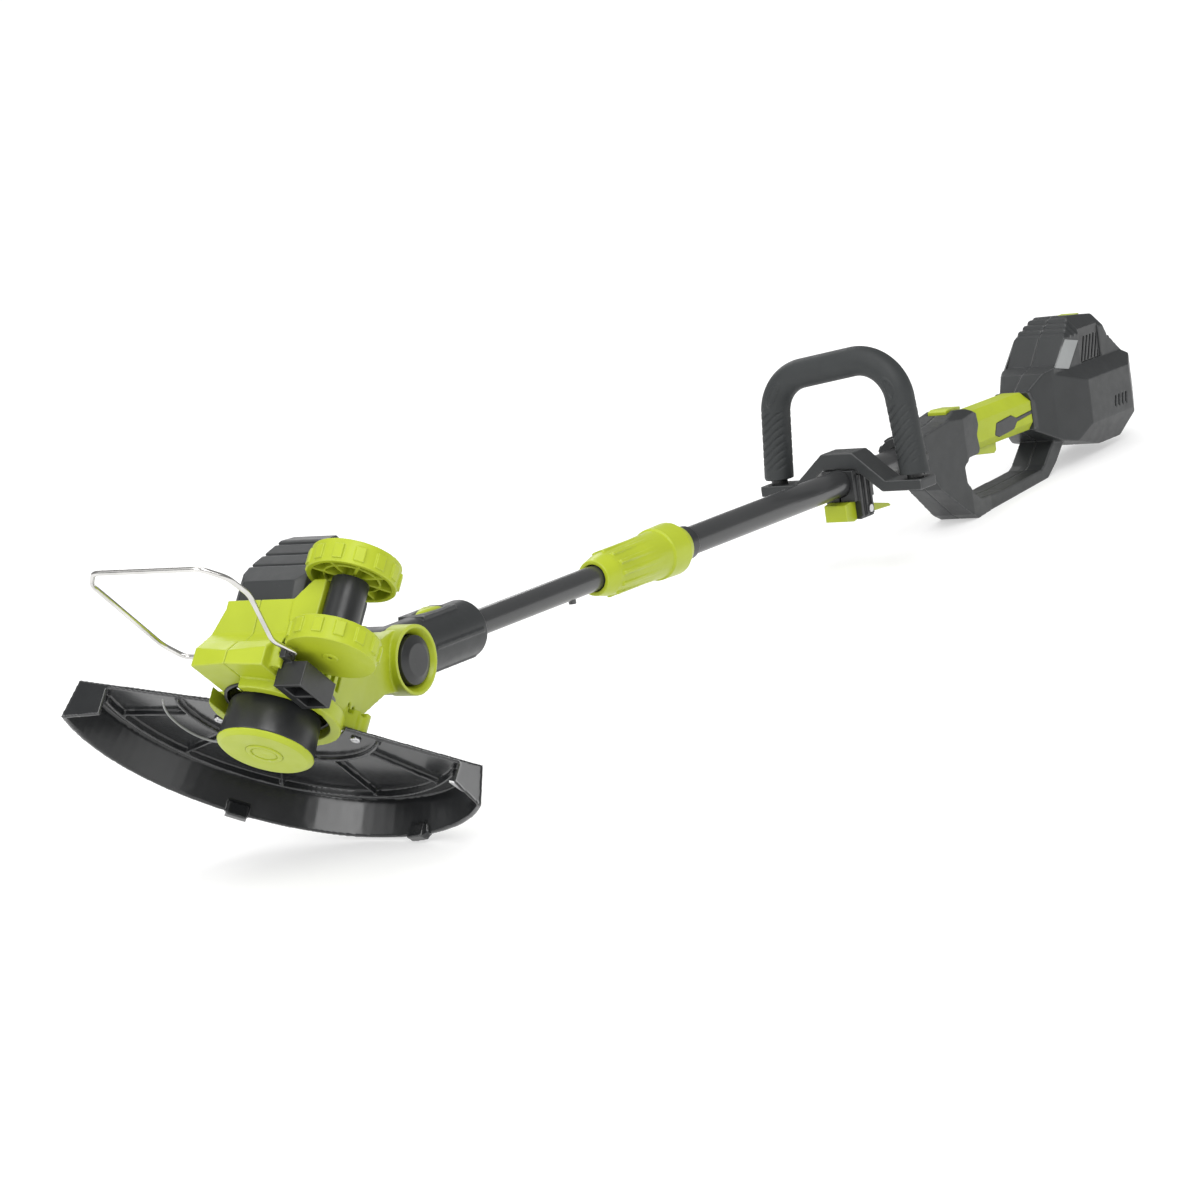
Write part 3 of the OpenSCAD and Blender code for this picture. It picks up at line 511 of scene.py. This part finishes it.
def drum_shroud():
    """The dark collar that shows between the hood and the drum."""
    low, high, r_in, r_out = -85.5, -71, 36.6, 39.7

    def step(angle, r, z):
        return -0.5 if z < low + 4 and math.cos(angle * 3 + 0.6) > 0.2 else 0

    profile = soft_corners([(r_in, low), (r_out - 0.8, low), (r_out, low + 5), (r_out, high),
                            (r_in, high)], 0.7)
    ob = new_object("drum_shroud", turned("drum_shroud", profile, SPOOL, 144, step))
    ob.data.materials.append(PAINT["black_plastic"])
    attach(ob, "head")


drum_shroud()


# ---- screws ----
def screw_rings(head_r, head_h, length, shank_r):
    """Rings of points for a round-headed screw along Z: its face at 0, a cross recess and the shank."""
    spans = [0.05, 0.3, 0.62, 0.9, 1.1, 1.4, 0.56 * head_r, 0.6 * head_r]
    rings = []
    for i in range(120):
        a = 2 * math.pi * i / 120
        ring = []
        for r in spans:
            near = min(abs(r * math.sin(a)), abs(r * math.cos(a)))
            depth = 0.5 * head_h if near < 0.14 * head_r and r < 0.58 * head_r else 0
            ring.append((r, 0.1 * head_h * (r / head_r) ** 2 + depth))
        ring += [(0.85 * head_r, 0.14 * head_h), (0.97 * head_r, 0.4 * head_h), (head_r, head_h),
                 (shank_r, head_h), (shank_r, length - 1), (0.05, length)]
        rings.append([(r * math.cos(a), r * math.sin(a), z) for r, z in ring])
    return rings


def screws(node, place, flip, spots, head_r, head_h, length, shank_r):
    bm = bmesh.new()
    for i, spot in enumerate(spots):
        turn = place @ Matrix.Translation(spot) @ flip @ Matrix.Rotation(0.7 * i + 0.3, 4, "Z")
        bm.from_mesh(grid_mesh(node, screw_rings(head_r, head_h, length, shank_r), turn, closed=True))
    mesh = bpy.data.meshes.new(node + "_cross")
    bm.to_mesh(mesh)
    bm.free()
    stand_for(new_object(node + "_cross", mesh), paint_of(node), node)


UPRIGHT = Matrix.Identity(4)
FROM_RIGHT = Matrix.Rotation(math.radians(90), 4, "X")
screws("guard_screws", SPOOL, UPRIGHT, [(11, 58, -89.4), (47, -38, -89.4)], 4, 2.4, 15.4, 1.7)
screws("handle_screws", SHAFT, FROM_RIGHT, [(834, 14, -24), (868, 14, -55), (1028, 14, -45), (1046, 14, 28),
                                            (1100, 14, -36)], 2.9, 2, 20, 1.5)


# ---- wheel axle ----
def wheel_axle():
    """A steel rod, with a lime boss and a small hole at each wheel's outer face."""
    at = HEAD @ Matrix.Translation(WHEEL_AXIS)
    low, high = -65.6, 11.4
    rod = soft_corners([(0.05, low + 1), (4, low + 1), (4, high - 1), (0.05, high - 1)], 0.4)
    stand_for(new_object("axle_rod", turned("axle_rod", rod, at, 48)), paint_of("wheel_axle"), "wheel_axle")
    bm = bmesh.new()
    for face, way in ((low, -1), (high, 1)):
        boss = soft_corners([(1.7, face + 0.6 * way), (5.2, face + 0.7 * way), (6, face),
                             (5.4, face - 0.6 * way), (1.7, face - 0.6 * way)], 0.4)
        bm.from_mesh(turned("boss", boss, at, 64))
    mesh = bpy.data.meshes.new("axle_bosses")
    bm.to_mesh(mesh)
    bm.free()
    ob = new_object("axle_bosses", mesh)
    ob.data.materials.append(PAINT["lime_wheel"])
    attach(ob, "head")


wheel_axle()


# ---- neck button ----
def drop_outline(a, long, wide, point):
    """A drop in plan: round to the rear, narrow to the front."""
    return long * math.cos(a), wide * math.sin(a) * (1 - point + point * math.cos(a))


def neck_release():
    """The drop-shaped button and the raised frame that closes the pocket round it."""
    at = SHAFT @ Matrix.Translation((NECK_BUTTON_X, 0, 0))
    steps, dome = 96, 60

    def top(x):
        return 25.5 - dome + math.sqrt(dome * dome - x * x) - 0.4

    shares = [0.02, 0.4, 0.75, 0.92, 1]
    rings = []
    for i in range(steps):
        a = 2 * math.pi * i / steps
        ring = []
        for k in shares:
            x, y = drop_outline(a, 16.6 * k, 8.7 * k, 0.34)
            ring.append((x, y, top(x) - 1.6 * max(0, k - 0.7) ** 2 / 0.09))
        x, y = drop_outline(a, 16.6, 8.7, 0.34)
        ring += [(x, y, 15.6), (0.02 * x, 0.02 * y, 15.6)]
        rings.append(ring)
    ob = new_object("neck_drop", grid_mesh("neck_drop", rings, at, closed=True))
    stand_for(ob, paint_of("neck_button"), "neck_button")
    rings = []
    for i in range(steps):
        a = 2 * math.pi * i / steps
        xi, yi = drop_outline(a, 17.2, 9.3, 0.34)
        xm, ym = drop_outline(a, 19, 11, 0.22)
        xo = 21.3 * math.copysign(abs(math.cos(a)) ** 0.6, math.cos(a))
        yo = 11.8 * math.copysign(abs(math.sin(a)) ** 0.6, math.sin(a))
        rings.append([(xi, yi, 18.2), (xi, yi, 22.9), (xi + (xm - xi) * 0.5, yi + (ym - yi) * 0.5, 23.4),
                      (xm, ym, 23.3), (xo, yo, 22.7), (xo, yo, 18.2)])
    ob = new_object("neck_frame", grid_mesh("neck_frame", rings, at, closed=True))
    ob.data.materials.append(PAINT["dark_shell"])
    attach(ob, "neck")


neck_release()


# ---- the plant guard wire ----
def plant_wire():
    u, f = -70, -150
    points = [(f, -34.5, u), (f, -49, u), (-178, -48, -74), (-230, -61, -65), (-255, -60, -65),
              (-269, -46, -65), (-269, 46, -65), (-252, 60, -65), (-226, 61, -65), (-165, 59, -68),
              (f, 49, u), (f, 34.5, u)]
    path = even_path(rounded_path(points, 5.5), 1.5)
    ob = new_object("plant_wire", swept("plant_wire", path, 1.9, HEAD, (0, 0, 1), 20))
    stand_for(ob, paint_of("flower_wire"), "flower_wire")


plant_wire()

# ---- tubes ----
ABOUT_SHAFT = SHAFT @ Matrix.Rotation(math.radians(90), 4, "Y")


def tube(node, start, end, radius, wall):
    profile = soft_corners([(radius, start), (radius, end), (radius - wall, end),
                            (radius - wall, start)], 0.4, 2)
    ob = new_object(node + "_drawn", turned(node + "_drawn", profile, ABOUT_SHAFT, 96))
    stand_for(ob, paint_of(node), node)


TUBE_WALL = 1.2
tube("lower_tube", 66, 560, 10, TUBE_WALL)
tube("upper_tube", 402, 880, 11.5, TUBE_WALL)

# ---- front loop handle ----
LOOP_X, LEG_Y, LEAN, SLOPE = 693, 66, 8, 8
BEND_Y, BEND_R, TOP_Z = 25, 36, 97.5


def loop_route(foot):
    """The loop's centre line: legs that lean in, two bends and a sloping top."""
    left = TOP_Z - BEND_Y * math.tan(math.radians(SLOPE)) - BEND_R / math.cos(math.radians(SLOPE))
    right = TOP_Z + BEND_Y * math.tan(math.radians(SLOPE)) - BEND_R / math.cos(math.radians(SLOPE))
    points = [Vector((LOOP_X, LEG_Y, foot)), Vector((LOOP_X, LEG_Y, 5))]
    for i in range(25):
        a = math.radians(LEAN + (90 - SLOPE - LEAN) * i / 24)
        points.append(Vector((LOOP_X, BEND_Y + BEND_R * math.cos(a), left + BEND_R * math.sin(a))))
    for i in range(25):
        a = math.radians(90 - SLOPE + (90 + SLOPE - LEAN) * i / 24)
        points.append(Vector((LOOP_X, BEND_R * math.cos(a) - BEND_Y, right + BEND_R * math.sin(a))))
    points += [Vector((LOOP_X, -LEG_Y, 5)), Vector((LOOP_X, -LEG_Y, foot))]
    return points


def foam_wave(run, angle, p):
    """Slanting finger grooves on the legs, and a drop-shaped thumb mark by each bend."""
    out = 0
    front = -math.sin(angle)
    sideways = math.cos(angle) * 12.5
    if 12 < p.z < 66:
        fade = min(1, (p.z - 12) / 4, (66 - p.z) / 4)
        lean = sideways * 0.75 * (1 if p.y > 0 else -1)
        phase = ((p.z + lean) / 6.6) % 1 - 0.5
        out -= 1.1 * fade * max(0, min(1, 2.2 * abs(front) - 0.7)) * pulse(phase, 0.2)
    if 66 < p.z < 90 and abs(p.y) > 30 and front > 0:
        drop = ((p.z - 77) / 8.5) ** 2 + (sideways / 3.4) ** 2
        out += 0.8 * pulse(drop - 1, 0.6) - 0.5 * (drop < 0.75)
    out -= 0.9 * pulse(min(run, 9), 1.2)
    return out


def foam_grip():
    path = even_path(loop_route(4.2), 0.8)
    ob = new_object("foam_grip", swept("foam_grip", path, 12.5, SHAFT, (1, 0, 0), 96, foam_wave))
    stand_for(ob, paint_of("loop_grip"), "loop_grip")


def loop_rod():
    path = even_path(loop_route(-8.5), 3)
    ob = new_object("loop_rod", swept("loop_rod", path, 7, SHAFT, (1, 0, 0), 32))
    stand_for(ob, paint_of("loop_core"), "loop_core")


foam_grip()
loop_rod()


# ---- springs ----
def spring(node, mesh):
    ob = new_object(node + "_coil", mesh)
    stand_for(ob, paint_of(node), node)
    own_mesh(ob)


ACROSS_HEAD = HEAD @ Matrix.Rotation(math.radians(-90), 4, "X")
spring("bump_spring", helix("bump_coil", 9.8, 1.6, -115.4, -109.3, 4, SPOOL))
spring("pivot_spring", helix("pivot_coil", 9.8, 1.8, -27.8, -20.2, 3.5, ACROSS_HEAD))
spring("neck_spring",
       helix("neck_coil", 4.2, 0.8, 12.6, 14.8, 3, SHAFT @ Matrix.Translation((NECK_BUTTON_X, 0, 0))))
spring("trigger_spring",
       helix("trigger_coil", 2.5, 0.6, -2.4, 3.6, 6, SHAFT @ Matrix.Translation((TRIGGER_SPRING_X, 0, 0))))
spring("lock_off_spring",
       helix("lock_coil", 3.4, 0.7, 16.5, 20.4, 4, SHAFT @ Matrix.Translation((LOCK_SPRING_X, 0, 0))))


# ---- floor and lights ----
def floor():
    mesh = bpy.data.meshes.new("floor")
    half = 60
    mesh.from_pydata([(-half, -half, 0), (half, -half, 0), (half, half, 0), (-half, half, 0)], [],
                     [(0, 1, 2, 3)])
    ob = new_object("floor", mesh)
    mat = surface("floor_paint", (0.55, 0.55, 0.55), 0.7, grain=60, bump=0.02, vary=0.005, specular=0.1)
    glow = mat.node_tree.nodes["Principled BSDF"]
    glow.inputs["Emission Color"].default_value = (1, 1, 1, 1)
    glow.inputs["Emission Strength"].default_value = 0.47
    mesh.materials.append(mat)


def area_light(name, at, aim, size, power):
    data = bpy.data.lights.new(name, "AREA")
    data.size = size
    data.energy = power
    ob = bpy.data.objects.new(name, data)
    bpy.context.scene.collection.objects.link(ob)
    ob.location = at
    ob.rotation_euler = (Vector(aim) - Vector(at)).to_track_quat("-Z", "Y").to_euler()


def sun_light(name, direction, strength, spread):
    data = bpy.data.lights.new(name, "SUN")
    data.energy = strength
    data.angle = math.radians(spread)
    ob = bpy.data.objects.new(name, data)
    bpy.context.scene.collection.objects.link(ob)
    ob.rotation_euler = Vector(direction).to_track_quat("-Z", "Y").to_euler()


def world_light(ambient, reflected):
    """Even white light, with a dimmer room in the reflections so that dark plastic keeps its depth."""
    world = bpy.data.worlds.new("studio")
    bpy.context.scene.world = world
    world.use_nodes = True
    tree = world.node_tree
    background = tree.nodes["Background"]
    background.inputs["Color"].default_value = (1, 1, 1, 1)
    path = tree.nodes.new("ShaderNodeLightPath")
    lit = remap(tree, path.outputs["Is Glossy Ray"], 0, 1, ambient, reflected)
    seen = tree.nodes.new("ShaderNodeMath")
    seen.operation = "MAXIMUM"
    tree.links.new(lit, seen.inputs[0])
    tree.links.new(path.outputs["Is Camera Ray"], seen.inputs[1])
    tree.links.new(seen.outputs[0], background.inputs["Strength"])


bpy.context.scene.view_settings.view_transform = "Standard"
floor()
world_light(0.78, 0.28)
sun_light("key", (0.45, 0.6, -1), 0.95, 30)
sun_light("fill", (0.7, -0.5, -0.8), 0.3, 40)
area_light("softbox_left", (-2.6, -2.2, 2.4), (0, 0, 0.1), 1.6, 22)
area_light("softbox_top", (-0.2, 0.3, 2.6), (-0.1, 0, 0.1), 1.8, 16)
area_light("softbox_rear", (1.9, 2.0, 1.5), (0.1, 0, 0.1), 1.4, 14)
area_light("softbox_front", (-3.2, 0.5, 1.75), (-0.5, 0, 0.1), 1.5, 26)
